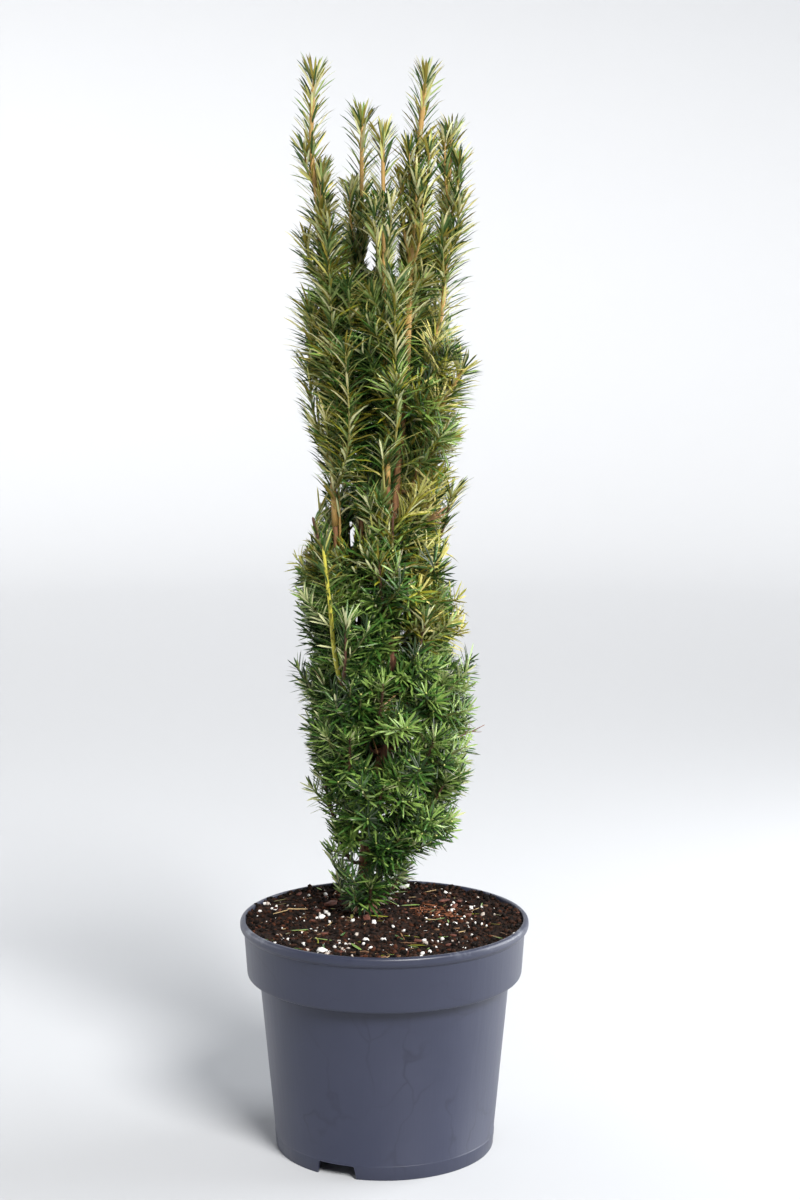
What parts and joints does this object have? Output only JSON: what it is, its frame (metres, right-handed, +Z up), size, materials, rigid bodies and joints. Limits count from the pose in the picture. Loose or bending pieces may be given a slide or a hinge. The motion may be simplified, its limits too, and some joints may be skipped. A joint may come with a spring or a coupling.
{
  "type": "potted english yew",
  "caption": "Young upright evergreen shrub with several needled leaders rising from one trunk, growing in a round nursery pot filled with potting soil.",
  "frame": {"origin": "on the pot's axis, at the level of its foot", "axes": "+Z up along the plant's height, +X to its right and +Y to its back, seen from the side where the tallest leaders stand left and right"},
  "size_m": [0.284, 0.284, 1.0623],
  "materials": {
    "pot": "dark blue-grey moulded plastic, satin, with fine scuffs and flow marks",
    "soil": "dark brown moist peat and bark crumbs with white perlite grains",
    "bark": "reddish-brown flaking bark, orange-tan to yellow-green on young wood",
    "foliage": "flat linear needles, glossy dark green above, pale yellow-green below and on young shoots"
  },
  "bodies": {
    "root": {"pot": "pot", "soil": "soil", "trunk": "bark", "bough_left": "bark", "bough_middle_left": "bark", "bough_middle": "bark", "bough_right": "bark", "bough_low_right": "bark", "bough_back_right": "bark", "bough_back_left": "bark", "bough_front_left": "bark", "leader_main": "foliage", "leader_left": "foliage", "leader_middle_left": "foliage", "leader_middle": "foliage", "leader_right": "foliage", "leader_low_right": "foliage", "leader_back_right": "foliage", "leader_back_left": "foliage", "leader_front_left": "foliage", "spray_1_1": "foliage", "spray_1_2": "foliage", "spray_1_3": "foliage", "spray_2_1": "foliage", "spray_2_2": "foliage", "spray_2_3": "foliage", "spray_2_4": "foliage", "spray_3_1": "foliage", "spray_3_2": "foliage", "spray_3_3": "foliage", "spray_3_4": "foliage", "spray_3_5": "foliage", "spray_4_1": "foliage", "spray_4_2": "foliage", "spray_4_3": "foliage", "spray_4_4": "foliage", "spray_4_5": "foliage", "spray_5_1": "foliage", "spray_5_2": "foliage", "spray_5_3": "foliage", "spray_5_4": "foliage", "spray_5_5": "foliage", "spray_5_6": "foliage", "spray_6_1": "foliage", "spray_6_2": "foliage", "spray_6_3": "foliage", "spray_6_4": "foliage", "spray_6_5": "foliage", "spray_7_1": "foliage", "spray_7_2": "foliage", "spray_7_3": "foliage", "spray_7_4": "foliage", "spray_7_5": "foliage", "spray_8_1": "foliage", "spray_8_2": "foliage", "spray_8_3": "foliage", "spray_8_4": "foliage"}
  },
  "joints": []
}
